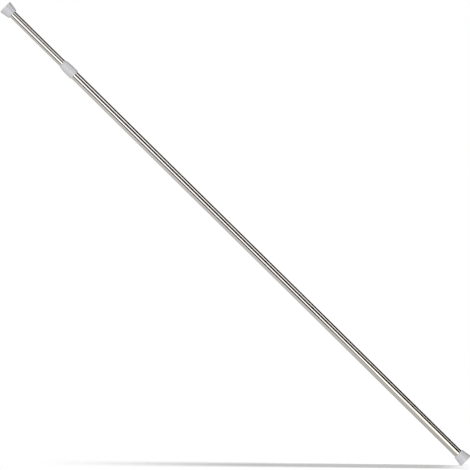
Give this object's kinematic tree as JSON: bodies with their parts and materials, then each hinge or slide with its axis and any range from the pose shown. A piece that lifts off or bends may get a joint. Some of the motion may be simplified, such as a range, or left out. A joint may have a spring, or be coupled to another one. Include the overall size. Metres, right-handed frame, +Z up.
{
  "type": "spring tension rod",
  "caption": "Telescoping steel tension rod with soft feet: a twist lock sets its length and an inner spring jams it between two walls.",
  "frame": {"origin": "centre of the thick tube's foot face, on the rod's axis", "axes": "+X along the rod towards the thin tube's foot, +Z up, as the rod hangs between two walls"},
  "size_m": [1.83, 0.0406, 0.0406],
  "materials": {
    "polished_tube": "polished stainless steel, drawn tube",
    "soft_grey": "soft pale grey moulded PVC, satin",
    "collar_grey": "pale grey moulded PVC, satin",
    "moulding": "natural white injection moulding",
    "plain_steel": "zinc plated steel"
  },
  "bodies": {
    "thick_half": {"outer_tube": "polished_tube", "outer_foot": "soft_grey", "outer_end_plug": "moulding", "collar": "collar_grey"},
    "lock": {"lock_ring": "moulding"},
    "cam": {"cam_spindle": "moulding", "ring_washer": "plain_steel", "washer_screw": "plain_steel", "spindle_pin": "plain_steel", "plunger_rod": "plain_steel", "spring_seat": "moulding", "seat_nut": "plain_steel"},
    "thin_half": {"inner_tube": "polished_tube", "guide_bush": "moulding", "spring": "plain_steel", "spring_stop": "moulding", "inner_end_plug": "moulding", "inner_foot": "soft_grey"}
  },
  "joints": [
    {"name": "length_adjust", "type": "slide", "parent": "thick_half", "child": "lock", "axis": [1, 0, 0], "range_m": [-0.166, 0.96]},
    {"name": "lock_twist", "type": "hinge", "parent": "lock", "child": "cam", "pos_m": [0.221, 0, 0], "axis": [1, 0, 0], "range_deg": [0, 90]},
    {"name": "spring_push", "type": "slide", "parent": "cam", "child": "thin_half", "axis": [1, 0, 0], "range_m": [-0.03, 0], "stiffness_N_per_m": 2440, "springref_m": 0.015, "deforming": ["spring"]}
  ]
}
